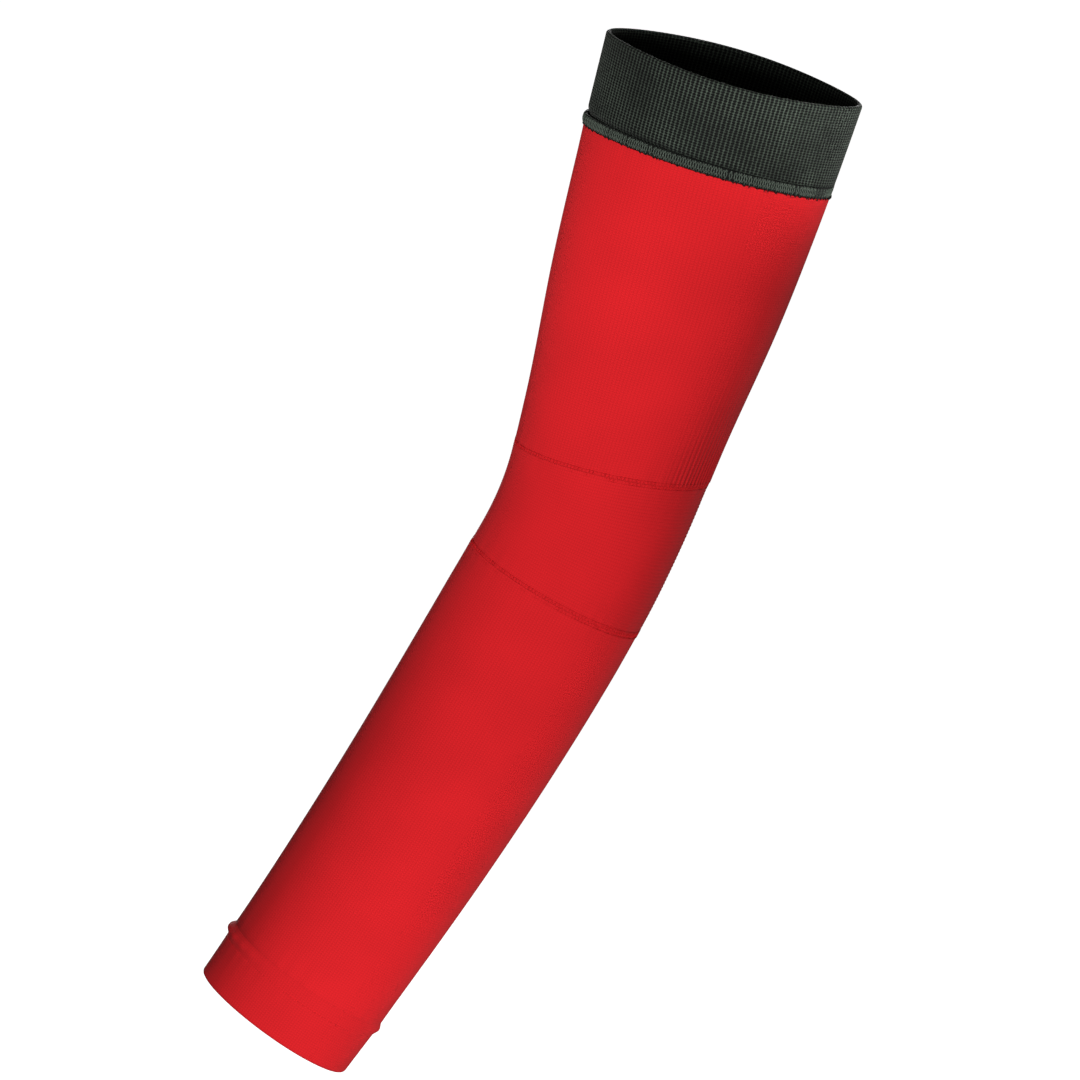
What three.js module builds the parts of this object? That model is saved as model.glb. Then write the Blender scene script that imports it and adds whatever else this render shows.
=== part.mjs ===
// A pull-on knit arm sleeve with an elastic top band, shaped to a slightly bent arm.
// Millimetres. The origin is the centre of the upper opening. +Z runs up the upper arm to the
// shoulder, -X is the crook of the elbow, +X its outer side, and Y runs across the arm.

import * as THREE from "three";

// Driving dimensions along the arm's centreline, measured down from the upper opening.
const SLEEVE_LENGTH = 434;
const BAND_HEIGHT = 38.6;
const BAND_ROLL_HEIGHT = 4.5;
const UPPER_ELBOW_SEAM = 167;
const LOWER_ELBOW_SEAM = 223;
const CUFF_HEIGHT = 24.6;
const CUFF_ROLL_HEIGHT = 5.6;
const CUFF_TOP = SLEEVE_LENGTH - CUFF_HEIGHT;

// The centreline is three arcs: an almost straight upper arm, the elbow and a slightly bowed forearm.
const UPPER_ARM_LENGTH = 171;
const ELBOW_LENGTH = 47;
const ARM_ARCS = [
  { length: UPPER_ARM_LENGTH, bend: 1.9 },
  { length: ELBOW_LENGTH, bend: 11 },
  { length: SLEEVE_LENGTH - UPPER_ARM_LENGTH - ELBOW_LENGTH, bend: 6.4 },
];

// Half-widths of the sleeve's outside: in the plane in which the elbow bends, and across it.
const GIRTH_STATIONS = [
  { at: 0, inPlane: 53.2, across: 44 },
  { at: 39, inPlane: 51.2, across: 43 },
  { at: 92, inPlane: 47.5, across: 41 },
  { at: 152, inPlane: 40.7, across: 37 },
  { at: 193, inPlane: 38, across: 35 },
  { at: 244, inPlane: 38.5, across: 35.5 },
  { at: 335, inPlane: 37, across: 34 },
  { at: SLEEVE_LENGTH, inPlane: 34.9, across: 32 },
];

// The upper opening is held a little flat, so its section is pinched towards both edges.
const OPENING_PINCH = 0.3;
const PINCH_FADES_OVER = 110;

// The upper elbow seam sits lower at the crook than at the outer side.
const SEAM_SLANT = 4.3;
const SLANT_REACH = 28;

// Cloth and small gaps. Offsets are measured outwards from the sleeve's outside.
const CLOTH = 1;
const GAP = 0.3;
const INNER_LAYER = CLOTH + GAP; // depth at which a folded-in layer starts
const FOLD_CHAMFER = 0.5;
const THREAD_HEIGHT = 0.4;
const SEAM_WIDTH = 3.4;
const OVERLOCK_WIDTH = 4;
const OVERLOCK_REACH = 2.6; // from the edge that an overlock binds to its middle

// How a closing seam stops short of the fold and of the rolled edge of its band.
const FOLD_MARGIN = 1.5;
const ROLL_MARGIN = 1;

// The long seam and the label sit on the outer side, turned towards the back of the sleeve.
const LONG_SEAM_ANGLE = THREE.MathUtils.degToRad(15);
const LABEL_ANGLE = THREE.MathUtils.degToRad(27);

const ROUND_SEGMENTS = 40;
const LATHE_RADIUS = 100; // any radius above the deepest offset: it only carries the offsets

const MATERIALS = {
  knit: new THREE.MeshStandardMaterial({ color: 0xd3242b, roughness: 0.85, metalness: 0 }),
  knitThread: new THREE.MeshStandardMaterial({ color: 0xb81e25, roughness: 0.9, metalness: 0 }),
  elastic: new THREE.MeshStandardMaterial({ color: 0x333a33, roughness: 0.9, metalness: 0 }),
  darkThread: new THREE.MeshStandardMaterial({ color: 0x1c1f1c, roughness: 0.9, metalness: 0 }),
  silicone: new THREE.MeshStandardMaterial({ color: 0x26282a, roughness: 0.5, metalness: 0 }),
  label: new THREE.MeshStandardMaterial({ color: 0xe6e6e2, roughness: 0.8, metalness: 0 }),
};

const girth = new THREE.CubicInterpolant(
  GIRTH_STATIONS.map((station) => station.at),
  GIRTH_STATIONS.flatMap((station) => [station.inPlane, station.across]),
  2,
);

// The centreline's point and its tilt from vertical, in radians, at a distance down the sleeve.
function armFrame(distance) {
  let x = 0;
  let z = 0;
  let tilt = 0;
  let left = distance;
  for (const arc of ARM_ARCS) {
    const last = arc === ARM_ARCS[ARM_ARCS.length - 1];
    const step = last ? left : Math.min(left, arc.length);
    const turn = (THREE.MathUtils.degToRad(arc.bend) * step) / arc.length;
    const chord = turn === 0 ? step : (step * Math.sin(turn / 2)) / (turn / 2);
    x -= chord * Math.sin(tilt + turn / 2);
    z -= chord * Math.cos(tilt + turn / 2);
    tilt += turn;
    left -= step;
    if (left === 0) break;
  }
  return { x, z, tilt };
}

// The point at an angle round the sleeve, an offset outwards from its outside and a distance down it.
function sleevePoint(angle, offset, distance) {
  const slant = SEAM_SLANT * Math.exp(-(((distance - UPPER_ELBOW_SEAM) / SLANT_REACH) ** 2));
  const along = distance - slant * Math.cos(angle);
  const { x, z, tilt } = armFrame(along);
  const [inPlane, across] = girth.evaluate(along);
  const pinch = OPENING_PINCH * (1 - THREE.MathUtils.smoothstep(along, 0, PINCH_FADES_OVER));
  const outwards = (inPlane + offset) * Math.cos(angle);
  const sideways = (across + offset) * Math.sin(angle) * (1 - pinch * Math.cos(angle) ** 2);
  return new THREE.Vector3(
    x + outwards * Math.cos(tilt),
    sideways,
    z - outwards * Math.sin(tilt),
  );
}

// Moves each vertex of a plain geometry to its place on the sleeve.
function wrap(geometry, toSleeve) {
  const position = geometry.attributes.position;
  const vertex = new THREE.Vector3();
  for (let i = 0; i < position.count; i += 1) {
    vertex.fromBufferAttribute(position, i);
    const { x, y, z } = sleevePoint(...toSleeve(vertex));
    position.setXYZ(i, x, y, z);
  }
  geometry.computeVertexNormals();
  return geometry;
}

// A closed ring round the sleeve from a closed outline of [offset, distance] points, which runs
// down its outer side and back up its inner side.
function ring(outline) {
  const profile = [...outline, outline[0]].map(
    ([offset, distance]) => new THREE.Vector2(LATHE_RADIUS + offset, -distance),
  );
  const lathe = new THREE.LatheGeometry(profile.reverse(), ROUND_SEGMENTS);
  return wrap(lathe, (vertex) => [
    Math.atan2(-vertex.z, vertex.x),
    Math.hypot(vertex.x, vertex.z) - LATHE_RADIUS,
    -vertex.y,
  ]);
}

// Evenly spaced distances from one end of a stretch to the other, both ends included.
function distances(from, to, longestStep) {
  const steps = Math.max(1, Math.ceil(Math.abs(to - from) / longestStep));
  return Array.from({ length: steps + 1 }, (_, i) => THREE.MathUtils.lerp(from, to, i / steps));
}

// A plain tube of cloth between two distances.
function tube(from, to, longestStep, outer = 0, inner = -CLOTH) {
  const down = distances(from, to, longestStep).map((distance) => [outer, distance]);
  const up = distances(to, from, longestStep).map((distance) => [inner, distance]);
  return ring([...down, ...up]);
}

// A tube folded inwards at one end: a long inner layer behind a shorter outer layer.
function foldedTube(fold, outerEnd, innerEnd, longestStep) {
  const side = Math.sign(outerEnd - fold);
  const innerFace = -INNER_LAYER - CLOTH;
  const outline = [
    [-FOLD_CHAMFER, fold],
    ...distances(fold + side * FOLD_CHAMFER, outerEnd, longestStep).map((at) => [0, at]),
    ...distances(outerEnd, fold + side * CLOTH, longestStep).map((at) => [-CLOTH, at]),
    ...distances(fold + side * CLOTH, innerEnd, longestStep).map((at) => [-INNER_LAYER, at]),
    ...distances(innerEnd, fold + side * FOLD_CHAMFER, longestStep).map((at) => [innerFace, at]),
    [innerFace + FOLD_CHAMFER, fold],
  ];
  return ring(side > 0 ? outline : outline.reverse());
}

// A rolled seam allowance, proud of the sleeve and fullest at its upper part.
function rolledSeam(from, height, proud) {
  return ring([
    [-CLOTH, from],
    [proud * 0.45, from],
    [proud, from + height * 0.25],
    [proud, from + height * 0.6],
    [proud * 0.45, from + height],
    [-CLOTH, from + height],
  ]);
}

// A thin band of thread round the sleeve, on its outside or against its inside.
function threadRing(centre, width, inside = false) {
  const low = inside ? -INNER_LAYER - THREAD_HEIGHT : GAP;
  return ring([
    [low + THREAD_HEIGHT, centre - width / 2],
    [low + THREAD_HEIGHT, centre + width / 2],
    [low, centre + width / 2],
    [low, centre - width / 2],
  ]);
}

// A thin strip that lies along the sleeve at one angle.
function strip(from, to, angle, width, longestStep, low = GAP, height = THREAD_HEIGHT) {
  const steps = Math.ceil((to - from) / longestStep);
  const box = new THREE.BoxGeometry(height, width, to - from, 1, 2, steps);
  const middle = (from + to) / 2;
  const radius = girth.evaluate(middle)[0];
  return wrap(box, (vertex) => [
    angle + vertex.y / radius,
    low + height / 2 + vertex.x,
    middle - vertex.z,
  ]);
}

const sleeve = new THREE.Group();

function add(name, material, geometry) {
  const mesh = new THREE.Mesh(geometry, material);
  mesh.name = name;
  sleeve.add(mesh);
}

// Top band: a folded elastic tube, its rolled lower edge, its stitching and the grips inside it.
const BAND_ROLL_TOP = BAND_HEIGHT - BAND_ROLL_HEIGHT;
const BAND_ROLL_PROUD = 1;
const BORDER_STITCH_WIDTH = 1.4;
const BORDER_STITCH_BELOW = 1.1; // from the band's lower edge to the stitch's middle
const GRIP_HEIGHT = 3.5;
const GRIP_DEPTH = 0.7;
const GRIPS = { silicone_strip_upper: 20, silicone_strip_lower: 28 };
const BAND_STEP = 13;
add("gripper_band", MATERIALS.elastic, foldedTube(0, BAND_ROLL_TOP - GAP, BAND_HEIGHT, BAND_STEP));
add("band_seam_roll", MATERIALS.elastic, rolledSeam(BAND_ROLL_TOP, BAND_ROLL_HEIGHT, BAND_ROLL_PROUD));
add(
  "band_border_stitch",
  MATERIALS.darkThread,
  threadRing(BAND_HEIGHT + BORDER_STITCH_BELOW, BORDER_STITCH_WIDTH),
);
add(
  "band_inner_overlock",
  MATERIALS.darkThread,
  threadRing(BAND_HEIGHT + OVERLOCK_REACH, OVERLOCK_WIDTH, true),
);
add(
  "band_closing_seam",
  MATERIALS.darkThread,
  strip(FOLD_MARGIN, BAND_ROLL_TOP - ROLL_MARGIN, LONG_SEAM_ANGLE, SEAM_WIDTH, BAND_STEP),
);
for (const [name, at] of Object.entries(GRIPS)) {
  const outer = -INNER_LAYER - CLOTH - GAP;
  add(name, MATERIALS.silicone, tube(at, at + GRIP_HEIGHT, BAND_STEP, outer, outer - GRIP_DEPTH));
}

// The three knit panels, each closed by a long seam, and the flat seams that join them.
const PANELS = [
  { name: "upper_arm", from: BAND_HEIGHT + GAP, to: UPPER_ELBOW_SEAM - GAP / 2, step: 18 },
  { name: "elbow", from: UPPER_ELBOW_SEAM + GAP / 2, to: LOWER_ELBOW_SEAM - GAP / 2, step: 9 },
  { name: "forearm", from: LOWER_ELBOW_SEAM + GAP / 2, to: CUFF_TOP - GAP, step: 23 },
];
const SEAM_CLEARANCE = 2.6; // keeps a long seam's ends off the seams that run round the sleeve
for (const { name, from, to, step } of PANELS) {
  add(`${name}_panel`, MATERIALS.knit, tube(from, to, step));
  add(
    `${name}_long_seam`,
    MATERIALS.knitThread,
    strip(from + SEAM_CLEARANCE, to - SEAM_CLEARANCE, LONG_SEAM_ANGLE, SEAM_WIDTH, step / 2),
  );
}
add("upper_elbow_seam", MATERIALS.knitThread, threadRing(UPPER_ELBOW_SEAM, SEAM_WIDTH));
add("lower_elbow_seam", MATERIALS.knitThread, threadRing(LOWER_ELBOW_SEAM, SEAM_WIDTH));

// A blank label caught in the long seam, against the inside of the upper arm.
const LABEL = { top: 46, height: 18, width: 14 };
add(
  "care_label",
  MATERIALS.label,
  strip(
    LABEL.top,
    LABEL.top + LABEL.height,
    LABEL_ANGLE,
    LABEL.width,
    LABEL.height,
    -INNER_LAYER - THREAD_HEIGHT,
  ),
);

// Wrist cuff: a folded tube of the same knit, its rolled upper edge and its stitching.
const CUFF_ROLL_BOTTOM = CUFF_TOP + CUFF_ROLL_HEIGHT;
const CUFF_ROLL_PROUD = 1.5;
add("wrist_seam_roll", MATERIALS.knit, rolledSeam(CUFF_TOP, CUFF_ROLL_HEIGHT, CUFF_ROLL_PROUD));
add(
  "wrist_inner_overlock",
  MATERIALS.knitThread,
  threadRing(CUFF_TOP - OVERLOCK_REACH, OVERLOCK_WIDTH, true),
);
add(
  "wrist_cuff",
  MATERIALS.knit,
  foldedTube(SLEEVE_LENGTH, CUFF_ROLL_BOTTOM + GAP, CUFF_TOP, BAND_STEP),
);
add(
  "cuff_closing_seam",
  MATERIALS.knitThread,
  strip(
    CUFF_ROLL_BOTTOM + ROLL_MARGIN,
    SLEEVE_LENGTH - FOLD_MARGIN,
    LONG_SEAM_ANGLE,
    SEAM_WIDTH,
    BAND_STEP,
  ),
);

export default sleeve;
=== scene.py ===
import math

import bpy
import numpy as np
from mathutils import Matrix, Vector


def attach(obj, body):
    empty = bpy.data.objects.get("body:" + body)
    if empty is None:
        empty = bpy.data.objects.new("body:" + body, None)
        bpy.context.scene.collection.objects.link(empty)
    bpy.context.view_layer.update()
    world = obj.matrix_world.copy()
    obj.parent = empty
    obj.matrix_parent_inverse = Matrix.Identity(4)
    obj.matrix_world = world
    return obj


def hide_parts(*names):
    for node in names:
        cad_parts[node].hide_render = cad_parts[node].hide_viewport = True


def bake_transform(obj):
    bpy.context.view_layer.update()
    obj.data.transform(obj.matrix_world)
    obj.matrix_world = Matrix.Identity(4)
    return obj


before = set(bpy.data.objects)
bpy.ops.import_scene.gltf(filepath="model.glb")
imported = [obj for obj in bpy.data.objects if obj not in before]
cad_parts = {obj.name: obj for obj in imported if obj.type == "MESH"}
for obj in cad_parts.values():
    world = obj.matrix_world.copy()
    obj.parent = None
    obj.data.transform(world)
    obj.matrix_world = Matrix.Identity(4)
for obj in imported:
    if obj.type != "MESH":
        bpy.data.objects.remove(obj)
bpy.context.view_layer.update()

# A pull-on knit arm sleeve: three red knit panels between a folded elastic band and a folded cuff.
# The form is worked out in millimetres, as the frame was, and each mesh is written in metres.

MM = 0.001
TAU = 2 * math.pi

# ---------------------------------------------------------------------------
# The sleeve's form: distances run down the centreline from the upper opening.
# ---------------------------------------------------------------------------

SLEEVE_LENGTH = 434
BAND_HEIGHT = 38.6
BAND_ROLL_HEIGHT = 4.5
BAND_ROLL_TOP = BAND_HEIGHT - BAND_ROLL_HEIGHT
UPPER_ELBOW_SEAM = 167
LOWER_ELBOW_SEAM = 223
CUFF_HEIGHT = 24.6
CUFF_ROLL_HEIGHT = 5.6
CUFF_TOP = SLEEVE_LENGTH - CUFF_HEIGHT
CUFF_ROLL_BOTTOM = CUFF_TOP + CUFF_ROLL_HEIGHT

# Where the outer layers of the folded band and cuff stop, just short of their rolls.
ROLL_GAP = 0.3
BAND_OUTER_END = BAND_ROLL_TOP - ROLL_GAP
CUFF_OUTER_END = CUFF_ROLL_BOTTOM + ROLL_GAP

# Length and bend in degrees of the upper arm, the elbow and the forearm.
ARM_ARCS = ((171, 1.9), (47, 11), (SLEEVE_LENGTH - 171 - 47, 6.4))

# Distance, half-width in the plane of the elbow's bend, half-width across it.
STATIONS = np.array(
    [
        (0, 53.2, 44),
        (39, 51.2, 43),
        (92, 47.5, 41),
        (152, 40.7, 37),
        (193, 38, 35),
        (244, 38.5, 35.5),
        (335, 37, 34),
        (SLEEVE_LENGTH, 34.9, 32),
    ],
    float,
)
# The opening is narrower across towards its two ends.
OPENING_PINCH = 0.3
PINCH_FADES_OVER = 110
# The upper elbow seam slants, and the band's lower border is drawn up on the front.
SEAM_SLANT = 4.3
SLANT_REACH = 28
BORDER_LIFT = 1.8
LIFT_REACH = 26
SEAM_ANGLE = math.radians(15)

CLOTH = 1.0
INNER_LAYER = 1.3

# The stretch round the elbow; place works out the centreline's points at its two ends.
BEND_FROM = 112
BEND_TO = 276


def smoothstep(value, low, high):
    t = np.clip((value - low) / (high - low), 0, 1)
    return t * t * (3 - 2 * t)


def half_widths(distance):
    """The two half-widths at each distance, on a cubic through the stations with straight ends."""
    at, values = STATIONS[:, 0], STATIONS[:, 1:]
    last = len(at) - 1
    i = np.clip(np.searchsorted(at, distance, side="right") - 1, 0, last - 1)
    width = at[i + 1] - at[i]
    p = ((distance - at[i]) / width)[..., None]
    before = np.where(i == 0, 1, i - 1)
    after = np.where(i == last - 1, last - 1, i + 2)
    lead = (0.5 * width / (at[i] - at[before]))[..., None]
    trail = (0.5 * width / (at[after] - at[i + 1]))[..., None]
    return (
        (-lead * p**3 + 2 * lead * p**2 - lead * p) * values[before]
        + ((1 + lead) * p**3 + (-1.5 - 2 * lead) * p**2 + (-0.5 + lead) * p + 1) * values[i]
        + ((-1 - trail) * p**3 + (1.5 + trail) * p**2 + 0.5 * p) * values[i + 1]
        + (trail * p**3 - trail * p**2) * values[after]
    )


def arm_frame(distance):
    """The centreline's x and z and its tilt from vertical, in radians."""
    x, z, tilt = (np.zeros_like(distance) for _ in range(3))
    left = distance.copy()
    for i, (length, bend) in enumerate(ARM_ARCS):
        step = left if i == len(ARM_ARCS) - 1 else np.minimum(left, length)
        turn = math.radians(bend) * step / length
        chord = step * np.sinc(turn / TAU)
        x -= chord * np.sin(tilt + turn / 2)
        z -= chord * np.cos(tilt + turn / 2)
        tilt += turn
        left = left - step
    return x, z, tilt


def sleeve_point(angle, offset, distance):
    """Points at an angle round the sleeve, an offset outwards from its outside, a distance down it."""
    angle, offset, distance = np.broadcast_arrays(
        *(np.asarray(value, float) for value in (angle, offset, distance))
    )
    slant = SEAM_SLANT * np.exp(-(((distance - UPPER_ELBOW_SEAM) / SLANT_REACH) ** 2))
    lift = BORDER_LIFT * np.exp(-(((distance - BAND_HEIGHT) / LIFT_REACH) ** 2))
    front = np.clip(-np.sin(angle), 0, 1)
    along = distance - slant * np.cos(angle) - lift * front**2
    x, z, tilt = arm_frame(along)
    widths = half_widths(along)
    pinch = OPENING_PINCH * (1 - smoothstep(along, 0, PINCH_FADES_OVER))
    outwards = (widths[..., 0] + offset) * np.cos(angle)
    sideways = (widths[..., 1] + offset) * np.sin(angle) * (1 - pinch * np.cos(angle) ** 2)
    return np.stack([x + outwards * np.cos(tilt), sideways, z - outwards * np.sin(tilt)], -1)


# A turn is a share of the cloth's girth, counted from the long seam, so cloth is laid out evenly.
TABLE_STEP = 2.0
TABLE_DISTANCES = np.arange(-4, SLEEVE_LENGTH + 6, TABLE_STEP)
TABLE_TURNS = 240
RING = np.linspace(0, TAU, 721)


def ring_lengths(distance):
    """Running length round the section at one distance, at each angle of RING."""
    ring = sleeve_point(SEAM_ANGLE + RING, 0, distance)
    steps = np.linalg.norm(np.diff(ring, axis=0), axis=1)
    return np.concatenate([[0], np.cumsum(steps)])


def make_angle_table():
    """The angle at each turn, and the girth, for a row of distances."""
    turns = np.linspace(0, 1, TABLE_TURNS + 1)
    angles, girths = [], []
    for distance in TABLE_DISTANCES:
        lengths = ring_lengths(distance)
        angles.append(SEAM_ANGLE + np.interp(turns * lengths[-1], lengths, RING))
        girths.append(lengths[-1])
    return np.array(angles), np.array(girths)


ANGLES, GIRTHS = make_angle_table()


def girth(distance):
    return np.interp(distance, TABLE_DISTANCES, GIRTHS)


def surface(turns, offset, distance):
    """Points of the sleeve by turn, offset and distance."""
    turns, offset, distance = np.broadcast_arrays(
        *(np.asarray(value, float) for value in (turns, offset, distance))
    )
    whole = np.floor(turns)
    row = (distance - TABLE_DISTANCES[0]) / TABLE_STEP
    i = np.clip(row.astype(int), 0, len(TABLE_DISTANCES) - 2)
    f = row - i
    column = (turns - whole) * TABLE_TURNS
    j = np.clip(column.astype(int), 0, TABLE_TURNS - 1)
    g = column - j
    upper = ANGLES[i, j] * (1 - g) + ANGLES[i, j + 1] * g
    lower = ANGLES[i + 1, j] * (1 - g) + ANGLES[i + 1, j + 1] * g
    return sleeve_point(upper * (1 - f) + lower * f + TAU * whole, offset, distance)


def ring_noise(turns, seed, lowest, highest):
    """A smooth wobble round the sleeve from -1 to 1 or so, the same on every run."""
    random = np.random.default_rng(seed)
    waves = np.arange(lowest, highest + 1)
    weights = random.uniform(0.4, 1, len(waves)) / np.sqrt(len(waves))
    phases = random.uniform(0, TAU, len(waves))
    return sum(w * np.sin(TAU * k * turns + p) for k, w, p in zip(waves, weights, phases))


def steps(start, end, pitch):
    """Evenly spaced distances from start to end, both included."""
    return np.linspace(start, end, max(1, math.ceil(abs(end - start) / pitch)) + 1)


# ---------------------------------------------------------------------------
# Meshes
# ---------------------------------------------------------------------------


def add_object(name, points, faces, uvs, material, painted_shade=None):
    """A smooth-shaded mesh object from points in millimetres, quads and one UV per face corner.
    The last argument, from 0 to 1 at each point, is painted shade: how far the colour is darkened where
    the cloth is squeezed in."""
    faces = np.asarray(faces)
    corners = points[faces]
    fan = np.cross(corners[:, 1] - corners[:, 0], corners[:, 2] - corners[:, 0])
    fan += np.cross(corners[:, 2] - corners[:, 0], corners[:, 3] - corners[:, 0])
    if (fan * (corners.mean(1) - points.mean(0))).sum() < 0:
        faces, uvs = faces[:, ::-1], uvs[:, ::-1]
    mesh = bpy.data.meshes.new(name)
    mesh.vertices.add(len(points))
    mesh.vertices.foreach_set("co", (points * MM).astype(np.float32).ravel())
    mesh.loops.add(faces.size)
    mesh.loops.foreach_set("vertex_index", faces.astype(np.int32).ravel())
    mesh.polygons.add(len(faces))
    mesh.polygons.foreach_set("loop_start", np.arange(0, faces.size, 4, dtype=np.int32))
    mesh.polygons.foreach_set("loop_total", np.full(len(faces), 4, np.int32))
    mesh.uv_layers.new(name="UVMap").data.foreach_set("uv", uvs.astype(np.float32).ravel())
    mesh.update(calc_edges=True)
    # The painted shade is kept on each point as an attribute that darkens the colour.
    if painted_shade is not None:
        attribute = mesh.attributes.new("painted_shade", "FLOAT", "POINT")
        attribute.data.foreach_set("value", painted_shade.astype(np.float32).ravel())
    mesh.shade_smooth()
    mesh.materials.append(material)
    piece = bpy.data.objects.new(name, mesh)
    bpy.context.scene.collection.objects.link(piece)
    return piece


def grid_faces(rows, columns):
    """Quads of a grid that closes on itself both ways, as row and column indices of the corners."""
    r, c = np.meshgrid(np.arange(rows), np.arange(columns), indexing="ij")
    return (
        np.stack([r, r, r + 1, r + 1], -1).reshape(-1, 4),
        np.stack([c, c + 1, c + 1, c], -1).reshape(-1, 4),
    )


def ring_piece(
    name, profile, columns, material, around, course, relief=None, sideways=False, painted_shade=None
):
    """A closed ring of cloth. profile is a closed outline of (offset, distance), around the number of
    pattern repeats round the sleeve and course their height; relief(turns, courses, profile) is added to
    the offset. sideways turns the pattern through a quarter turn, and the last argument is a function
    like relief that gives each point's painted shade, which darkens its colour."""
    profile = np.asarray(profile, float)
    turns = np.arange(columns) / columns
    sides = np.linalg.norm(np.diff(profile, axis=0, append=profile[:1]), axis=1)
    down = np.concatenate([[0], np.cumsum(sides)]) / course
    offset = np.broadcast_to(profile[:, :1], (len(profile), columns))
    if relief is not None:
        offset = offset + relief(turns[None, :], down[:-1, None], profile)
    points = surface(turns[None, :], offset, profile[:, 1:])
    row, column = grid_faces(len(profile), columns)
    faces = (row % len(profile)) * columns + column % columns
    uvs = np.stack([column * around / columns, down[row]], -1)
    if sideways:
        uvs = uvs[..., ::-1]
    # depth holds each point's painted shade.
    depth = None
    if painted_shade is not None:
        depth = np.broadcast_to(painted_shade(turns[None, :], down[:-1, None], profile), offset.shape)
    return add_object(name, points.reshape(-1, 3), faces, uvs, material, depth)


def thread_piece(name, strands, radius, material, sides=6, closed=False):
    """Thread as round strands. strands is a list of (turns, offset, distance) arrays of equal length."""
    turns, offset, distance = (np.stack([strand[k] for strand in strands]) for k in range(3))
    middle = surface(turns, offset, distance)
    out = surface(turns, offset + 1, distance) - middle
    if closed:
        along = np.roll(middle, -1, 1) - np.roll(middle, 1, 1)
    else:
        along = np.gradient(middle, axis=1)
    side = np.cross(along, out)
    side /= np.linalg.norm(side, axis=-1, keepdims=True)
    up = np.cross(side, along)
    up /= np.linalg.norm(up, axis=-1, keepdims=True)
    count, length = turns.shape
    thickness = np.full((1, length, 1, 1), radius, float)
    if not closed:
        thickness[:, [0, -1]] *= 0.25
    spin = (np.arange(sides) / sides * TAU)[None, None, :, None]
    ring = np.cos(spin) * side[:, :, None] + np.sin(spin) * up[:, :, None]
    points = (middle[:, :, None] + thickness * ring).reshape(-1, 3)
    row, column = grid_faces(length if closed else length - 1, sides)
    one = (row % length) * sides + column % sides
    faces = (np.arange(count)[:, None, None] * length * sides + one).reshape(-1, 4)
    pace = np.linalg.norm(along, axis=-1).mean() / (2 if closed else 1)
    uvs = np.tile(np.stack([column / sides, row * pace], -1), (count, 1, 1))
    return add_object(name, points, faces, uvs, material)


def patch_piece(name, turns, offset, distance, thickness, material):
    """A thin closed slab over a grid of rows and columns, with UVs in millimetres."""
    front = surface(turns, offset, distance)
    back = surface(turns, offset - thickness, distance)
    rows, columns = front.shape[:2]
    size = rows * columns
    index = np.arange(size).reshape(rows, columns)
    top = np.stack([index[:-1, :-1], index[:-1, 1:], index[1:, 1:], index[1:, :-1]], -1).reshape(-1, 4)
    edge = np.concatenate([index[0, :-1], index[:-1, -1], index[-1, :0:-1], index[:0:-1, 0]])
    after = np.roll(edge, -1)
    rim = np.stack([after, edge, edge + size, after + size], -1)
    faces = np.concatenate([top, top[:, ::-1] + size, rim])
    across = np.linalg.norm(front[0, 1] - front[0, 0])
    down = np.linalg.norm(front[1, 0] - front[0, 0])
    row, column = np.divmod(faces % size, columns)
    uvs = np.stack([column * across, row * down], -1)
    return add_object(name, np.concatenate([front, back]).reshape(-1, 3), faces, uvs, material)


# ---------------------------------------------------------------------------
# Materials
# ---------------------------------------------------------------------------


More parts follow.
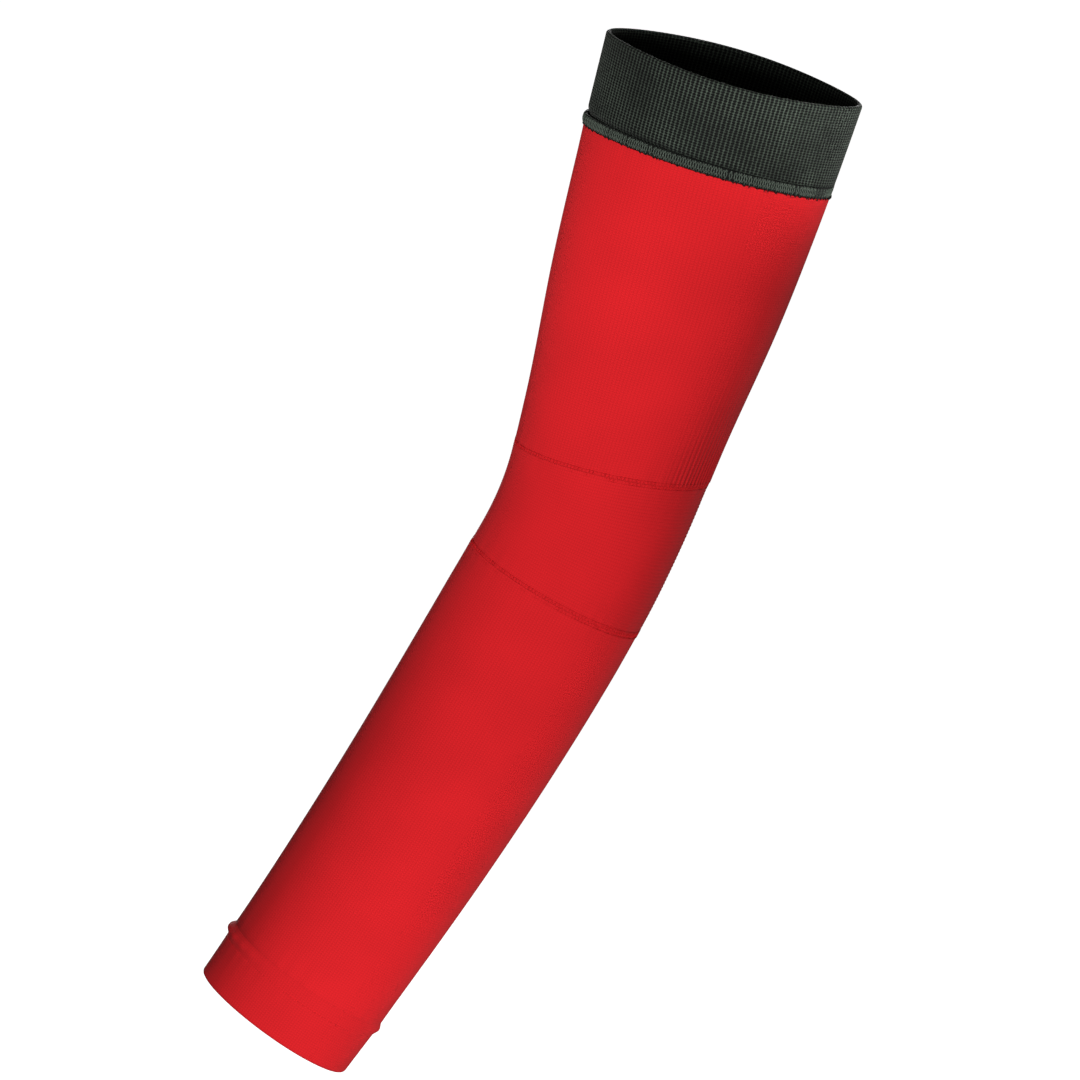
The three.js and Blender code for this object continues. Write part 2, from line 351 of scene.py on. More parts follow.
class Finish:
    """One material's node tree, built up by plain calls."""

    def __init__(self, name, **settings):
        self.material = bpy.data.materials.new(name)
        self.material.use_nodes = True
        self.tree = self.material.node_tree
        self.shader = self.tree.nodes["Principled BSDF"]
        for socket, value in settings.items():
            self.shader.inputs[socket.replace("_", " ")].default_value = value
        corner = self.node("ShaderNodeSeparateXYZ")
        self.tree.links.new(self.node("ShaderNodeUVMap").outputs[0], corner.inputs[0])
        self.u, self.v = corner.outputs[0], corner.outputs[1]

    def node(self, kind, **settings):
        made = self.tree.nodes.new(kind)
        for key, value in settings.items():
            setattr(made, key, value)
        return made

    def feed(self, socket, value):
        if isinstance(value, bpy.types.NodeSocket):
            self.tree.links.new(value, socket)
        else:
            socket.default_value = value

    def math(self, operation, *values):
        made = self.node("ShaderNodeMath", operation=operation)
        for socket, value in zip(made.inputs, values):
            self.feed(socket, value)
        return made.outputs[0]

    def ramp(self, value, low, high):
        made = self.node("ShaderNodeMapRange", interpolation_type="SMOOTHSTEP")
        for socket, item in zip(made.inputs, (value, low, high, 0.0, 1.0)):
            self.feed(socket, item)
        return made.outputs[0]

    def noise(self, scale_u, scale_v, detail=2.0):
        """Noise over the cloth, with its own scale along each UV axis."""
        place = self.node("ShaderNodeCombineXYZ")
        self.feed(place.inputs[0], self.math("MULTIPLY", self.u, scale_u))
        self.feed(place.inputs[1], self.math("MULTIPLY", self.v, scale_v))
        made = self.node("ShaderNodeTexNoise")
        self.feed(made.inputs["Vector"], place.outputs[0])
        made.inputs["Scale"].default_value = 1.0
        made.inputs["Detail"].default_value = detail
        return made.outputs[0]

    def with_painted_shade(self, factor, share):
        """The factor, brought down by up to share by painted shade where the cloth is recessed."""
        painted_shade = self.node("ShaderNodeAttribute", attribute_name="painted_shade").outputs["Fac"]
        kept = self.math("SUBTRACT", 1.0, self.math("MULTIPLY", painted_shade, share))
        return self.math("MULTIPLY", factor, kept)

    def colour(self, factor, dark, light):
        """The base colour, from dark at 0 to light at 1."""
        made = self.node("ShaderNodeMix", data_type="RGBA")
        self.feed(made.inputs[0], factor)
        made.inputs[6].default_value = (*dark, 1)
        made.inputs[7].default_value = (*light, 1)
        self.feed(self.shader.inputs["Base Color"], made.outputs[2])

    def roughness(self, factor, low, high):
        span = self.math("MULTIPLY", factor, high - low)
        self.feed(self.shader.inputs["Roughness"], self.math("ADD", span, low))

    def bump(self, height, depth):
        made = self.node("ShaderNodeBump")
        made.inputs["Strength"].default_value = 1.0
        made.inputs["Distance"].default_value = depth * MM
        self.feed(made.inputs["Height"], height)
        self.feed(self.shader.inputs["Normal"], made.outputs[0])


def knit_finish():
    """Jersey knit: a column of V stitches to each unit of u, one course to each unit of v."""
    f = Finish("knit", Specular_IOR_Level=0.12, Sheen_Weight=0.02, Sheen_Roughness=0.6)
    f.shader.inputs["Diffuse Roughness"].default_value = 0.2
    leg = f.math("MULTIPLY", f.math("ABSOLUTE", f.math("SUBTRACT", f.math("FRACT", f.u), 0.5)), 2.0)
    climb = f.math("FRACT", f.math("ADD", f.v, f.math("MULTIPLY", leg, 0.55)))
    yarn = f.math("SINE", f.math("MULTIPLY", climb, math.pi))
    gap = f.math("POWER", leg, 5.0)
    stitch = f.math("MULTIPLY", f.math("POWER", yarn, 0.7), f.math("SUBTRACT", 1.0, gap))
    cloud = f.noise(0.035, 0.03)
    speck = f.noise(1.7, 1.9, 3.0)
    tone = f.math("ADD", f.math("MULTIPLY", stitch, 0.4), f.math("MULTIPLY", cloud, 0.4))
    tone = f.math("ADD", tone, f.math("MULTIPLY", speck, 0.35))
    lightness = f.math("ADD", 0.55, f.math("MULTIPLY", f.ramp(tone, 0.1, 0.95), 0.45))
    # The red is darkened by painted shade in the valleys and the fold that the mesh marks.
    f.colour(f.with_painted_shade(lightness, 0.8), (0.21, 0.0028, 0.0045), (0.68, 0.0125, 0.0175))
    f.roughness(speck, 0.82, 0.95)
    f.bump(f.math("ADD", stitch, f.math("MULTIPLY", speck, 0.3)), 0.045)
    return f.material


def elastic_finish():
    """Waffle-woven elastic: one hole to each unit of u and v."""
    f = Finish("elastic", Specular_IOR_Level=0.15, Sheen_Weight=0.12, Sheen_Roughness=0.4)
    f.shader.inputs["Sheen Tint"].default_value = (0.9, 0.93, 0.86, 1)
    stray = f.math("MULTIPLY", f.math("SUBTRACT", f.noise(0.9, 0.9, 1.0), 0.5), 0.35)
    u = f.math("SUBTRACT", f.math("FRACT", f.math("ADD", f.u, stray)), 0.5)
    v = f.math("SUBTRACT", f.math("FRACT", f.math("ADD", f.v, stray)), 0.5)
    across = f.math("POWER", f.math("DIVIDE", f.math("ABSOLUTE", u), 0.38), 2.0)
    along = f.math("POWER", f.math("DIVIDE", f.math("ABSOLUTE", v), 0.42), 2.0)
    # The holes are coloured near black: painted shade for their depth.
    yarn = f.ramp(f.math("ADD", across, along), 0.85, 1.7)
    rib = f.math("SINE", f.math("MULTIPLY", f.math("ADD", f.u, f.math("MULTIPLY", f.v, 0.5)), 37.7))
    speck = f.noise(2.3, 1.9, 3.0)
    cloud = f.noise(0.08, 0.06)
    light = f.math("ADD", f.math("MULTIPLY", speck, 0.5), f.math("MULTIPLY", cloud, 0.5))
    tone = f.math("MULTIPLY", yarn, f.ramp(light, 0.1, 0.9))
    # The elastic is darkened by painted shade in the groove above its roll and all over the roll.
    f.colour(f.with_painted_shade(tone, 0.95), (0.0006, 0.0008, 0.0006), (0.088, 0.115, 0.088))
    f.roughness(speck, 0.6, 0.85)
    height = f.math("ADD", yarn, f.math("MULTIPLY", rib, 0.12))
    f.bump(f.math("ADD", height, f.math("MULTIPLY", speck, 0.25)), 0.09)
    return f.material


def thread_finish(name, dark, light):
    """Twisted thread: u runs round it and v along it in millimetres."""
    f = Finish(name, Specular_IOR_Level=0.12)
    ply = f.math("ADD", f.math("MULTIPLY", f.u, 3.0), f.math("MULTIPLY", f.v, 2.4))
    twist = f.math("SINE", f.math("MULTIPLY", f.math("FRACT", ply), math.pi))
    speck = f.noise(3.0, 2.1)
    f.colour(f.ramp(f.math("ADD", twist, speck), 0.3, 1.6), dark, light)
    f.roughness(speck, 0.6, 0.85)
    f.bump(twist, 0.05)
    return f.material


def silicone_finish():
    f = Finish("silicone", Specular_IOR_Level=0.5)
    grain = f.noise(1.2, 1.1, 4.0)
    f.colour(grain, (0.010, 0.011, 0.012), (0.030, 0.032, 0.034))
    f.roughness(grain, 0.18, 0.4)
    f.bump(grain, 0.05)
    return f.material


def label_finish():
    """Satin label: u and v in millimetres."""
    f = Finish("label", Specular_IOR_Level=0.4, Sheen_Weight=0.1)
    weft = f.math("SINE", f.math("MULTIPLY", f.v, 22.0))
    warp = f.math("SINE", f.math("MULTIPLY", f.u, 31.0))
    weave = f.math("MULTIPLY", f.math("ADD", f.math("MULTIPLY", weft, warp), 1.0), 0.5)
    tone = f.math("ADD", f.math("MULTIPLY", weave, 0.5), f.math("MULTIPLY", f.noise(0.5, 0.5), 0.5))
    f.colour(tone, (0.60, 0.60, 0.56), (0.86, 0.86, 0.82))
    f.roughness(weave, 0.4, 0.6)
    f.bump(weave, 0.03)
    return f.material


KNIT = knit_finish()
ELASTIC = elastic_finish()
KNIT_THREAD = thread_finish("knit_thread", (0.46, 0.006, 0.009), (0.62, 0.011, 0.015))
DARK_THREAD = thread_finish("dark_thread", (0.006, 0.008, 0.006), (0.125, 0.155, 0.125))
BORDER_THREAD = thread_finish("border_thread", (0.003, 0.003, 0.003), (0.014, 0.010, 0.009))
SILICONE = silicone_finish()
LABEL = label_finish()


# ---------------------------------------------------------------------------
# Placing
# ---------------------------------------------------------------------------


def centre(distance):
    x, z, _ = arm_frame(np.array(float(distance)))
    return (float(x) * MM, 0, float(z) * MM)


def place(piece, body, slot, *nodes):
    """The piece rides on a body, or, for the elbow, has its transform baked into its mesh, and stands
    for these CAD nodes.
    """
    if body == "elbow":
        centre(BEND_FROM)
        centre(BEND_TO)
        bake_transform(piece)
    else:
        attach(piece, body)
    if nodes:
        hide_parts(*nodes)
    return piece


# ---------------------------------------------------------------------------
# Cloth
# ---------------------------------------------------------------------------

WALES = 180
COURSE = 1.0
WALE_WIDTH = 1.25
PANEL_COLUMNS = 240
PANEL_ROW = 1.5
FINE_COLUMNS = 4 * WALES
LONG_ROW = 2.4
FINE_ROW = WALE_WIDTH / 4
SEAM_HALF_GAP = 0.02
BAND_GAP = 0.3
CUFF_GAP = 0.2
EDGE_ROUND = 0.14
SHOWN_PUCKER = 0.1
PUCKER_REACH = 7
HANG = 0.18
WALE_RELIEF = 0.03
GATHERS = 110
GATHER_RELIEF = 0.34
GATHER_REACH = 20
RIB_RELIEF = 0.05
OUTER_RIB_RELIEF = 0.04
OUTLINE_STEP = 0.22
STEP_REACH = 9
# How dark the painted shade in the fold above the wrist roll is, how far it reaches and how fast it
# fades round the sleeve.
FOLD_SHADE = 0.75
FOLD_REACH = 2.2
FOLD_FADE = 4


def cloth_outline(top, bottom, row, inner_row, outer=0.0, thickness=CLOTH):
    """A single layer's closed outline, down its outside and up its inside, with rounded edges."""
    down = steps(top + EDGE_ROUND, bottom - EDGE_ROUND, row)
    depths = np.array([0.3, 1.0, thickness / EDGE_ROUND - 1, thickness / EDGE_ROUND - 0.3]) * EDGE_ROUND
    reach = np.array([0.7, 1.0, 1.0, 0.7]) * EDGE_ROUND
    lower = np.stack([outer - depths, down[-1] + reach], -1)
    upper = np.stack([outer - depths[::-1], down[0] - reach], -1)
    outside = np.stack([np.full_like(down, outer), down], -1)
    back = steps(down[-1], down[0], inner_row)
    inside = np.stack([np.full_like(back, outer - thickness), back], -1)
    return np.concatenate([outside, lower, inside, upper])


def towards_crook(turns):
    """1 on the side of the crook, falling to 0 on the outer side."""
    return smoothstep(-np.cos(SEAM_ANGLE + TAU * turns), -0.75, 0.55)


def outer_side(turns):
    """1 on the outer side of the elbow, falling to 0 well before the front."""
    return smoothstep(np.cos(SEAM_ANGLE + TAU * turns), 0.35, 0.95)


def panel_relief(top, bottom, seed, ribs):
    """Puckers that fade away from the seams at top and bottom, a slow wander in the cloth, and its ribs.
    ribs is "wales", "courses" or None."""

    def relief(turns, courses, profile):
        distance = profile[:, 1:]
        shown = (profile[:, :1] > -0.01).astype(float)
        near_top = np.exp(-np.abs(distance - top) / PUCKER_REACH)
        near_bottom = np.exp(-np.abs(distance - bottom) / PUCKER_REACH)
        puckers = near_top * ring_noise(turns, seed, 22, 46)
        puckers = puckers + near_bottom * ring_noise(turns, seed + 1, 22, 46)
        drift = 0.5 * np.sin(distance / 31 + seed)
        wander = ring_noise(turns + 0.02 * np.sin(distance / 23), seed + 2, 2, 6) + drift
        total = SHOWN_PUCKER * puckers + HANG * wander * (1 - near_top) * (1 - near_bottom)
        if ribs == "wales":
            gather = np.exp(-np.abs(distance - bottom) / GATHER_REACH) * outer_side(turns) ** 2
            total = total + shown * WALE_RELIEF * np.cos(TAU * WALES * turns)
            total = total + shown * GATHER_RELIEF * gather * np.cos(TAU * GATHERS * turns)
        if ribs == "courses":
            depth = RIB_RELIEF + OUTER_RIB_RELIEF * outer_side(turns)
            total = total + shown * depth * np.cos(TAU * (distance - top) / WALE_WIDTH)
        if ribs != "wales":
            total = total + OUTLINE_STEP * np.exp(-(distance - top) / STEP_REACH) * towards_crook(turns)
        return total

    return relief


def panel_painted_shade(top, bottom, ribs):
    """Painted shade in the valleys between gathered wales at the outer elbow and between the elbow
    panel's ribs, and painted shade in the fold above the wrist roll on the side of the crook."""

    def painted_shade(turns, courses, profile):
        distance = profile[:, 1:]
        shown = (profile[:, :1] > -0.01) * outer_side(turns) ** 1.5
        if ribs == "wales":
            gather = np.exp(-np.abs(distance - bottom) / GATHER_REACH)
            return shown * gather * (0.5 - 0.5 * np.cos(TAU * GATHERS * turns)) ** 1.5
        if ribs == "courses":
            return 0.3 * shown * (0.5 - 0.5 * np.cos(TAU * (distance - top) / WALE_WIDTH))
        # Painted shade in the fold above the wrist roll, on the crook side.
        fold = np.exp(-np.abs(distance - bottom) / FOLD_REACH) * (profile[:, :1] > -0.01)
        return FOLD_SHADE * fold * np.clip(-np.cos(SEAM_ANGLE + TAU * turns), 0, 1) ** FOLD_FADE

    return painted_shade


def knit_panel(name, top, bottom, seed, columns, row, ribs=None):
    top, bottom = top + SEAM_HALF_GAP, bottom - SEAM_HALF_GAP
    sideways = ribs == "courses"
    around, course = (girth((top + bottom) / 2) / COURSE, WALE_WIDTH) if sideways else (WALES, COURSE)
    piece = ring_piece(
        name,
        cloth_outline(top, bottom, row, 3.0),
        columns,
        KNIT,
        round(around),
        course,
        panel_relief(top, bottom, seed, ribs),
        sideways,
        panel_painted_shade(top, bottom, ribs),
    )
    return place(piece, "elbow", "knit", name.replace("knit", "panel"))


upper_arm_knit = knit_panel(
    "upper_arm_knit", BAND_HEIGHT + BAND_GAP, UPPER_ELBOW_SEAM, 3, FINE_COLUMNS, LONG_ROW, "wales"
)
elbow_knit = knit_panel(
    "elbow_knit", UPPER_ELBOW_SEAM, LOWER_ELBOW_SEAM, 13, PANEL_COLUMNS, FINE_ROW, "courses"
)
forearm_knit = knit_panel(
    "forearm_knit", LOWER_ELBOW_SEAM, CUFF_TOP - CUFF_GAP, 23, PANEL_COLUMNS, PANEL_ROW
)


def folded_outline(fold, outer_end, inner_end, row_outer, row_inner):
    """Two layers joined at a fold. Returns the closed outline and, for each of its points, 1 where it
    is on the outside or the fold and 0 elsewhere."""
    thick = INNER_LAYER + CLOTH
    way = 1 if outer_end > fold else -1
    bend = thick / 2
    start = fold + way * bend
    outer = steps(outer_end, start, row_outer)
    turn = np.radians(np.linspace(0, 180, 9))[1:-1]
    around = np.stack([-bend + bend * np.cos(turn), start - way * bend * np.sin(turn)], -1)
    inner = steps(start, inner_end, row_inner)
    tuck = (INNER_LAYER - CLOTH) / 2
    hidden_up = steps(inner_end, start, row_inner * 3)
    hidden_down = steps(start, outer_end, row_inner * 3)
    rows = [
        (np.stack([np.zeros_like(outer), outer], -1), 1),
        (around, 1),
        (np.stack([np.full_like(inner, -thick), inner], -1), 0),
        (np.stack([np.full_like(hidden_up, -INNER_LAYER), hidden_up], -1), 0),
        ([[-bend, start - way * tuck]], 0),
        (np.stack([np.full_like(hidden_down, -CLOTH), hidden_down], -1), 0),
    ]
    profile = np.concatenate([part for part, _ in rows])
    outside = np.concatenate([np.full(len(part), flag, float) for part, flag in rows])
    return profile, outside


# The band: waffle elastic, drawn in above the roll that closes it. Its holes are shaped on the outside
# only, and on the inside they are left to its material, which colours them near black as painted shade.
HOLES_ROUND = 160
SAMPLES_PER_HOLE = 4
HOLE_PITCH = 1.1
HOLE_ROW = HOLE_PITCH / 3
HOLE_DEPTH = 0.45
INSIDE_ROW = 3.0
GROOVE_DEPTH = 0.9
GROOVE_REACH = 1.5

band_profile, band_outside = folded_outline(0, BAND_OUTER_END, BAND_HEIGHT, HOLE_ROW, INSIDE_ROW)
band_outside = band_outside[:, None]


def band_groove(turns, courses, profile):
    """The hollow where the elastic is drawn in above its roll, deepest towards the crook. It shapes the
    groove and also gives the painted shade laid in it.
    """
    near = np.exp(-(((BAND_ROLL_TOP - profile[:, 1:]) / GROOVE_REACH) ** 2))
    return band_outside * near * (0.9 + 0.1 * ring_noise(turns, 41, 3, 9)) * towards_crook(turns)


def band_relief(turns, courses, profile):
    across = (turns * HOLES_ROUND) % 1 - 0.5
    along = courses % 1 - 0.5
    hole = np.exp(-((across / 0.22) ** 2) - (along / 0.28) ** 2)
    groove = GROOVE_DEPTH * band_groove(turns, courses, profile)
    wander = 0.15 * ring_noise(turns, 43, 2, 5)
    return wander - groove - band_outside * HOLE_DEPTH * hole


band_elastic = ring_piece(
    "band_elastic",
    band_profile,
    HOLES_ROUND * SAMPLES_PER_HOLE,
    ELASTIC,
    HOLES_ROUND,
    HOLE_PITCH,
    band_relief,
    # The groove also darkens the elastic as painted shade.
    painted_shade=band_groove,
)
place(band_elastic, "upper_arm", "elastic", "gripper_band")


def roll_outline(top, bottom, inside, proud, count=20):
    """A rounded outline between two distances."""
    turn = np.arange(count) / count * TAU
    middle, half = (proud + inside) / 2, (proud - inside) / 2
    return np.stack(
        [middle + half * np.cos(turn), (top + bottom) / 2 + (bottom - top) / 2 * np.sin(turn)], -1
    )


ROLL_PROUD = 1.0
FLUSH = 0.95
# How dark the painted shade over the whole band roll is.
ROLL_SHADE = 0.95
BORDER_STITCHES = 136


def band_roll_relief(turns, courses, profile):
    shown = np.clip(profile[:, :1] + 0.5, 0, 1)
    uneven = 0.1 * ring_noise(turns, 51, 8, 30) + 0.1 * np.sin(TAU * turns * BORDER_STITCHES)
    return shown * (uneven - FLUSH * (1 - towards_crook(turns)) * np.clip(profile[:, :1], 0, 1))


def band_roll_painted_shade(turns, courses, profile):
    """The whole roll is darkened with painted shade, so that the thread stands out from it."""
    return np.full_like(turns, ROLL_SHADE)


band_roll = ring_piece(
    "band_roll",
    roll_outline(BAND_ROLL_TOP, BAND_HEIGHT, -CLOTH, ROLL_PROUD),
    6 * BORDER_STITCHES,
    ELASTIC,
    HOLES_ROUND,
    HOLE_PITCH,
    band_roll_relief,
    painted_shade=band_roll_painted_shade,
)
place(band_roll, "upper_arm", "elastic", "band_seam_roll")

# The wrist's roll stands up at the two sides and lies flush with the knit in front and behind.
WRIST_PROUD_CROOK = 2.0
WRIST_PROUD_OUTER = 1.0
WRIST_SKIRT = 0.5
SKIRT_TUCK = -0.08
CROOK_FADE = 3.5
OUTER_FADE = 12


def wrist_proud(turns):
    across = np.cos(SEAM_ANGLE + TAU * turns)
    crook = np.clip(-across, 0, 1) ** CROOK_FADE
    outer = np.clip(across, 0, 1) ** OUTER_FADE
    return WRIST_PROUD_CROOK * crook + WRIST_PROUD_OUTER * outer


def wrist_roll_outline(count=18):
    """A low crown whose skirts lie just under the knit, for a roll 1 mm proud."""
    t = np.linspace(0, 1, count)
    top, bottom = CUFF_TOP - WRIST_SKIRT, CUFF_ROLL_BOTTOM + WRIST_SKIRT
    outside = np.stack([SKIRT_TUCK + np.sin(math.pi * t) ** 2, top + (bottom - top) * t], -1)
    inside = np.stack([np.full(5, -CLOTH), np.linspace(bottom, top, 5)], -1)
    return np.concatenate([outside, inside])


def wrist_roll_relief(turns, courses, profile):
    crown = np.clip(profile[:, :1] - SKIRT_TUCK, 0, None)
    wrinkle = 1 + 0.12 * ring_noise(turns, 61, 10, 34)
    return crown * (wrist_proud(turns) * wrinkle - 1)


wrist_roll = ring_piece(
    "wrist_roll",
    wrist_roll_outline(),
    PANEL_COLUMNS * 2,
    KNIT,
    WALES,
    COURSE,
    wrist_roll_relief,
)
place(wrist_roll, "forearm", "knit", "wrist_seam_roll")

CUFF_ROW = 1.0
cuff_profile, _ = folded_outline(SLEEVE_LENGTH, CUFF_OUTER_END, CUFF_TOP, CUFF_ROW, PANEL_ROW)


def cuff_relief(turns, courses, profile):
    near = np.exp(-np.abs(profile[:, 1:] - CUFF_ROLL_BOTTOM) / PUCKER_REACH)
    puckers = 0.12 * near * ring_noise(turns, 71, 20, 40)
    return puckers + 0.15 * ring_noise(turns, 73, 2, 6)


cuff_knit = ring_piece(
    "cuff_knit", cuff_profile, PANEL_COLUMNS, KNIT, WALES, COURSE, cuff_relief
)
place(cuff_knit, "forearm", "knit", "wrist_cuff")

# ---------------------------------------------------------------------------
# Threads
# ---------------------------------------------------------------------------


def triangle(phase):
    """A wave from -1 to 1 with straight sides."""
    return 1 - 4 * np.abs((phase + 0.25) % 1 - 0.5)


def ring_zigzag(middle, half, repeats, offset, arch=0.0, phase=0.0, samples=8):
    """A closed zigzag round the sleeve, arched outwards by arch at its middle."""
    count = repeats * samples
    turns = np.arange(count) / count
    wave = triangle(turns * repeats + phase)
    lift = offset + arch * np.sqrt(np.clip(1 - (0.97 * wave) ** 2, 0, 1))
    return turns, lift, middle + half * wave


def ring_line(at, offset, count, wiggle=0.0):
    turns = np.arange(count) / count
    return turns, np.full(count, float(offset)), at + wiggle * np.sin(TAU * turns * count / 8)


def long_zigzag(start, end, half, pitch, offset, samples=8):
    """A zigzag down the sleeve's long seam."""
    count = int((end - start) / pitch) * samples + 1
    distance = np.linspace(start, end, count)
    wave = triangle(np.arange(count) / samples)
    return half * wave / girth(distance), np.full(count, float(offset)), distance


def long_line(start, end, beside, offset, count):
    distance = np.linspace(start, end, count)
    return beside / girth(distance), np.full(count, float(offset)), distance


ROLL_MIDDLE = (BAND_ROLL_TOP + BAND_HEIGHT) / 2
ROLL_STITCH_HALF = 2.15
ROLL_THREAD = 0.15
DASH_THREAD = 0.24

# An overlock is two zigzags, one a little behind the other.
OVERLOCK_PHASES = (0.0, 0.45)
OVERLOCK_THREAD = 0.2
OVERLOCK_HALF = 1.9
OVERLOCK_BESIDE = 2.6
WRIST_STITCHES = 110
INSIDE = -CLOTH - 0.3


def roll_zigzag(phase):
    turns, offset, distance = ring_zigzag(
        ROLL_MIDDLE, ROLL_STITCH_HALF, BORDER_STITCHES, 0.02, ROLL_PROUD, phase, 10
    )
    return turns, offset - FLUSH * (1 - towards_crook(turns)) * np.clip(offset, 0, 1), distance


roll_thread = thread_piece(
    "band_roll_thread",
    [roll_zigzag(phase) for phase in OVERLOCK_PHASES],
    ROLL_THREAD,
    DARK_THREAD,
    closed=True,
)
place(roll_thread, "upper_arm", "dark_thread")


def border_dashes():
    """Short stitches from under the roll out over the red knit."""
    random = np.random.default_rng(81)
    t = np.linspace(0, 1, 7)
    strands = []
    for i in range(BORDER_STITCHES):
        outer = 1 - towards_crook(i / BORDER_STITCHES)
        reach = random.uniform(0.5, 1.1) + 0.6 * random.random() * outer
        lean = random.uniform(-0.1, 0.25) / BORDER_STITCHES
        start = (i + random.uniform(-0.12, 0.12)) / BORDER_STITCHES
        turns = start + lean * t * 4
        offset = 0.12 + 0.28 * np.sin(math.pi * t) ** 0.7
        strands.append((turns, offset, BAND_HEIGHT - 0.3 + reach * t))
    return strands


dashes = thread_piece("band_border_dashes", border_dashes(), DASH_THREAD, BORDER_THREAD)
place(dashes, "upper_arm", "dark_thread", "band_border_stitch")


def overlock(at, stitches):
    """Overlock stitches against the inside of the knit."""
    return [
        ring_zigzag(at, OVERLOCK_HALF, stitches, INSIDE, phase=phase) for phase in OVERLOCK_PHASES
    ]


band_inside = thread_piece(
    "band_inside_thread",
    overlock(BAND_HEIGHT + OVERLOCK_BESIDE, BORDER_STITCHES),
    OVERLOCK_THREAD,
    DARK_THREAD,
    closed=True,
)
place(band_inside, "upper_arm", "dark_thread", "band_inner_overlock")

# A closing seam runs from just off the fold to just off the roll.
FOLD_CLEARANCE = 1.5
ROLL_CLEARANCE = 1.0
CLOSING_OFFSET = 0.12
band_seam = thread_piece(
    "band_closing_thread",
    [long_zigzag(FOLD_CLEARANCE, BAND_ROLL_TOP - ROLL_CLEARANCE, 1.2, 1.9, CLOSING_OFFSET)],
    OVERLOCK_THREAD,
    DARK_THREAD,
)
place(band_seam, "upper_arm", "dark_thread", "band_closing_seam")

FLAT_THREAD = 0.13
FLAT_OFFSET = 0.05
FLAT_HALF = 1.25
FLAT_EDGE = 1.35
FLAT_PITCH = 1.8
LINE_WIGGLE = 0.08
RING_STITCHES = 150


def ring_flatlock(name, at, node):
    """A flat seam round the sleeve: a zigzag between two lines of thread."""
    count = RING_STITCHES * 8
    strands = [
        ring_zigzag(at, FLAT_HALF, RING_STITCHES, FLAT_OFFSET),
        ring_line(at - FLAT_EDGE, FLAT_OFFSET, count, LINE_WIGGLE),
        ring_line(at + FLAT_EDGE, FLAT_OFFSET, count, LINE_WIGGLE),
    ]
    piece = thread_piece(name, strands, FLAT_THREAD, KNIT_THREAD, closed=True)
    return place(piece, "elbow", "knit_thread", node)


upper_ring = ring_flatlock("upper_elbow_thread", UPPER_ELBOW_SEAM, "upper_elbow_seam")
lower_ring = ring_flatlock("lower_elbow_thread", LOWER_ELBOW_SEAM, "lower_elbow_seam")

SEAM_CLEARANCE = 2.6


def long_flatlock(name, start, end, body, node):
    start, end = start + SEAM_CLEARANCE, end - SEAM_CLEARANCE
    zigzag = long_zigzag(start, end, FLAT_HALF, FLAT_PITCH, FLAT_OFFSET)
    count = len(zigzag[0])
    lines = [long_line(start, end, side, FLAT_OFFSET, count) for side in (-FLAT_EDGE, FLAT_EDGE)]
    strands = [zigzag] + lines
    piece = thread_piece(name, strands, FLAT_THREAD, KNIT_THREAD)
    return place(piece, body, "knit_thread", node)


upper_long = long_flatlock(
    "upper_arm_seam_thread", BAND_HEIGHT, UPPER_ELBOW_SEAM, "elbow", "upper_arm_long_seam"
)
elbow_long = long_flatlock(
    "elbow_seam_thread", UPPER_ELBOW_SEAM, LOWER_ELBOW_SEAM, "elbow", "elbow_long_seam"
)
forearm_long = long_flatlock(
    "forearm_seam_thread", LOWER_ELBOW_SEAM, CUFF_TOP, "elbow", "forearm_long_seam"
)

wrist_inside = thread_piece(
    "wrist_inside_thread",
    overlock(CUFF_TOP - OVERLOCK_BESIDE, WRIST_STITCHES),
    OVERLOCK_THREAD,
    KNIT_THREAD,
    closed=True,
)
place(wrist_inside, "forearm", "knit_thread", "wrist_inner_overlock")

cuff_seam = thread_piece(
    "cuff_closing_thread",
    [
        long_zigzag(
            CUFF_ROLL_BOTTOM + ROLL_CLEARANCE, SLEEVE_LENGTH - FOLD_CLEARANCE, 1.0, 1.8, CLOSING_OFFSET
        )
    ],
    FLAT_THREAD,
    KNIT_THREAD,
)
place(cuff_seam, "forearm", "knit_thread", "cuff_closing_seam")

# ---------------------------------------------------------------------------
# Inside the sleeve
# ---------------------------------------------------------------------------

STRIP_HEIGHT = 3.5
STRIP_INSIDE = -3.3
STRIP_OUTSIDE = -2.1
UPPER_STRIP_AT = 20
LOWER_STRIP_AT = 28


def grip_strip(name, at, node):
    half = STRIP_HEIGHT / 2
    profile = roll_outline(at - half, at + half, STRIP_INSIDE, STRIP_OUTSIDE, 12)
    piece = ring_piece(name, profile, 320, SILICONE, 300, 1.0)
    return place(piece, "upper_arm", "silicone", node)


upper_strip = grip_strip("grip_strip_upper", UPPER_STRIP_AT, "silicone_strip_upper")
lower_strip = grip_strip("grip_strip_lower", LOWER_STRIP_AT, "silicone_strip_lower")

LABEL_TURN = 12 / 360
LABEL_WIDTH = 14
LABEL_TOP = 46
LABEL_BOTTOM = 64
LABEL_MIDDLE = (LABEL_TOP + LABEL_BOTTOM) / 2
label_rows, label_columns = np.meshgrid(np.linspace(0, 1, 19), np.linspace(0, 1, 15), indexing="ij")
label_turns = LABEL_TURN + (label_columns - 0.5) * LABEL_WIDTH / girth(LABEL_MIDDLE)
label_curl = -1.25 - 0.35 * label_rows**2 - 0.12 * np.sin(label_columns * 7)
care_label = patch_piece(
    "care_label_cloth",
    label_turns,
    label_curl,
    LABEL_TOP + label_rows * (LABEL_BOTTOM - LABEL_TOP),
    0.25,
    LABEL,
)
place(care_label, "upper_arm", "label", "care_label")


# ---------------------------------------------------------------------------
# Floor, light and camera
# ---------------------------------------------------------------------------

FLOOR_HEIGHT = -0.62
FLOOR_RADIUS = 16

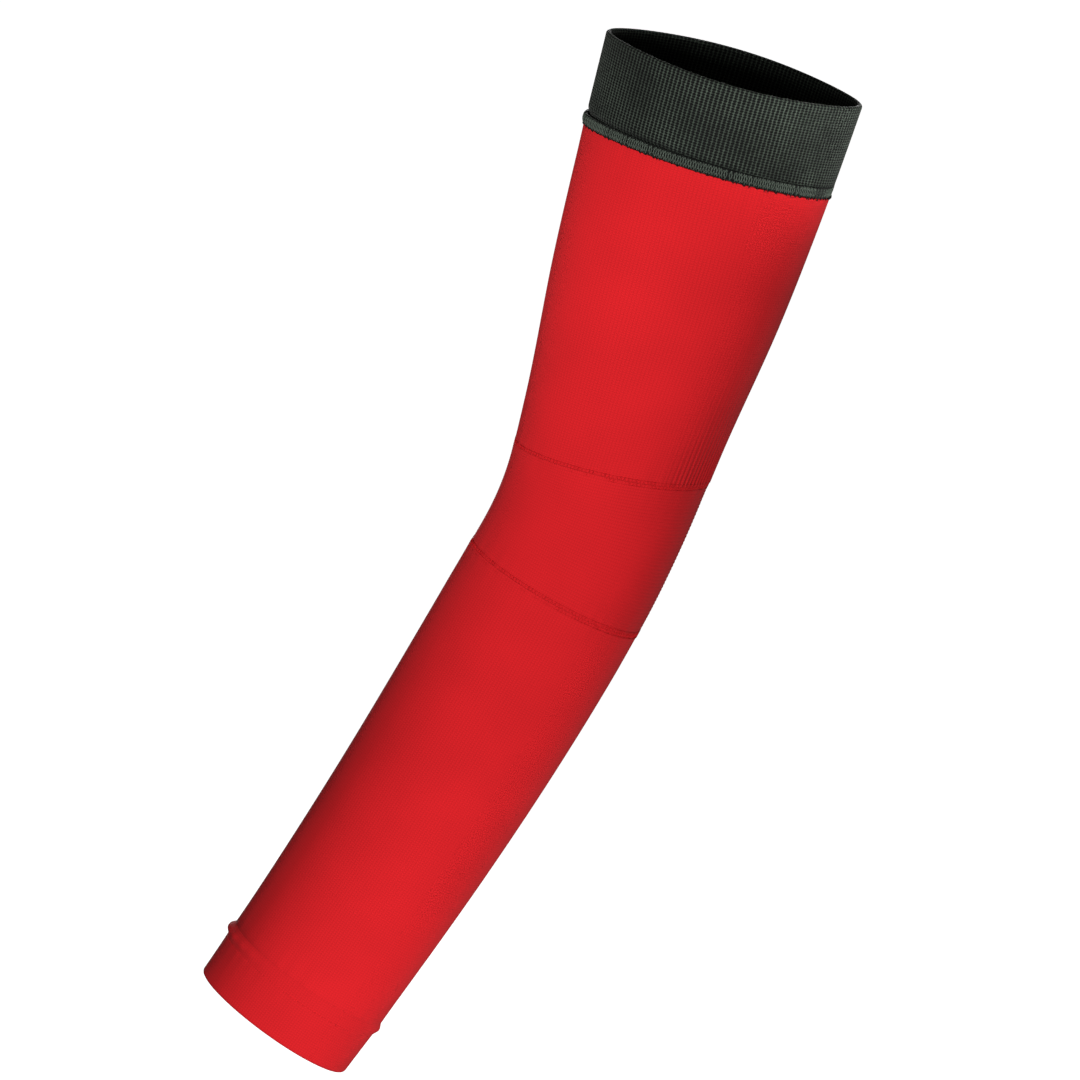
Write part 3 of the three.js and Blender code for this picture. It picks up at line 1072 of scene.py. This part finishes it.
bpy.ops.mesh.primitive_circle_add(
    vertices=96, radius=FLOOR_RADIUS, fill_type="NGON", location=(0, 0, FLOOR_HEIGHT)
)
floor = bpy.context.object
floor.name = "floor"
floor_finish = Finish("floor", Roughness=0.9, Specular_IOR_Level=0.0, Emission_Strength=1.0)
floor_finish.shader.inputs["Emission Color"].default_value = (1, 1, 1, 1)
floor_finish.shader.inputs["Base Color"].default_value = (0.85, 0.85, 0.85, 1)
# Its own glow is only what the camera sees, so it is not sampled as a light.
floor_finish.material.cycles.emission_sampling = "NONE"
floor.data.materials.append(floor_finish.material)
floor.visible_diffuse = False
floor.visible_glossy = False

TARGET = Vector((-0.021, 0, -0.206))


def add_light(name, place_at, aim, width, height, power, spread=180):
    light = bpy.data.lights.new(name, "AREA")
    light.shape = "RECTANGLE"
    light.size, light.size_y = width, height
    light.energy = power
    light.spread = math.radians(spread)
    lamp = bpy.data.objects.new(name, light)
    lamp.location = place_at
    lamp.rotation_euler = (Vector(aim) - Vector(place_at)).to_track_quat("-Z", "Y").to_euler()
    bpy.context.scene.collection.objects.link(lamp)


add_light("key", (0.1, -1.6, -0.2), TARGET, 0.5, 0.7, 16.5)
add_light("key_left", (-0.42, -1.6, -0.05), TARGET, 0.4, 0.5, 4.2)
add_light("upper_left", (-0.8, -1.1, -0.08), (0, 0, -0.08), 0.08, 0.08, 0.085, 20)
add_light("forearm_right", (0.75, -1.1, -0.45), (-0.075, 0, -0.40), 0.08, 0.08, 0.1, 20)
add_light("band_right", (0.8, -0.7, 0.0), (0.03, 0, 0.01), 0.05, 0.05, 0.034, 8)
# The lights behind are narrow and weak, because strong ones leave grain where the small ones fall.
add_light("back", (-0.05, 1.7, -0.1), TARGET, 0.8, 0.8, 3.4, 60)
add_light("side_fill", (0.95, 0.9, -0.25), TARGET, 0.6, 0.8, 0.35, 60)

# The backdrop is white to the camera and lights the sleeve only faintly.
ROOM_GLOW = 0.05
world = bpy.data.worlds.new("studio")
world.use_nodes = True
bpy.context.scene.world = world
tree = world.node_tree
backdrop = tree.nodes["Background"]
backdrop.inputs[0].default_value = (1, 1, 1, 1)
ray = tree.nodes.new("ShaderNodeLightPath")
level = tree.nodes.new("ShaderNodeMapRange")
level.inputs["To Min"].default_value = ROOM_GLOW
level.inputs["To Max"].default_value = 1.0
tree.links.new(ray.outputs["Is Camera Ray"], level.inputs["Value"])
tree.links.new(level.outputs[0], backdrop.inputs[1])

CAMERA_DISTANCE = 12
CAMERA_ELEVATION = math.radians(11)
CAMERA_ROLL = math.radians(16.46)
VIEW_WIDTH = 0.431
SENSOR = 36

forward = Vector((0, math.cos(CAMERA_ELEVATION), -math.sin(CAMERA_ELEVATION)))
level_up = Vector((0, math.sin(CAMERA_ELEVATION), math.cos(CAMERA_ELEVATION)))
level_right = Vector((1, 0, 0))
right = math.cos(CAMERA_ROLL) * level_right + math.sin(CAMERA_ROLL) * level_up
up = math.cos(CAMERA_ROLL) * level_up - math.sin(CAMERA_ROLL) * level_right
turn = Matrix((right, up, -forward)).transposed().to_4x4()
camera_data = bpy.data.cameras.new("camera")
camera_data.sensor_width = SENSOR
camera_data.lens = SENSOR * CAMERA_DISTANCE / VIEW_WIDTH
camera_data.clip_end = 60
camera = bpy.data.objects.new("camera", camera_data)
camera.matrix_world = Matrix.Translation(TARGET - forward * CAMERA_DISTANCE) @ turn
bpy.context.scene.collection.objects.link(camera)
bpy.context.scene.camera = camera
bpy.context.scene.view_settings.view_transform = "Standard"
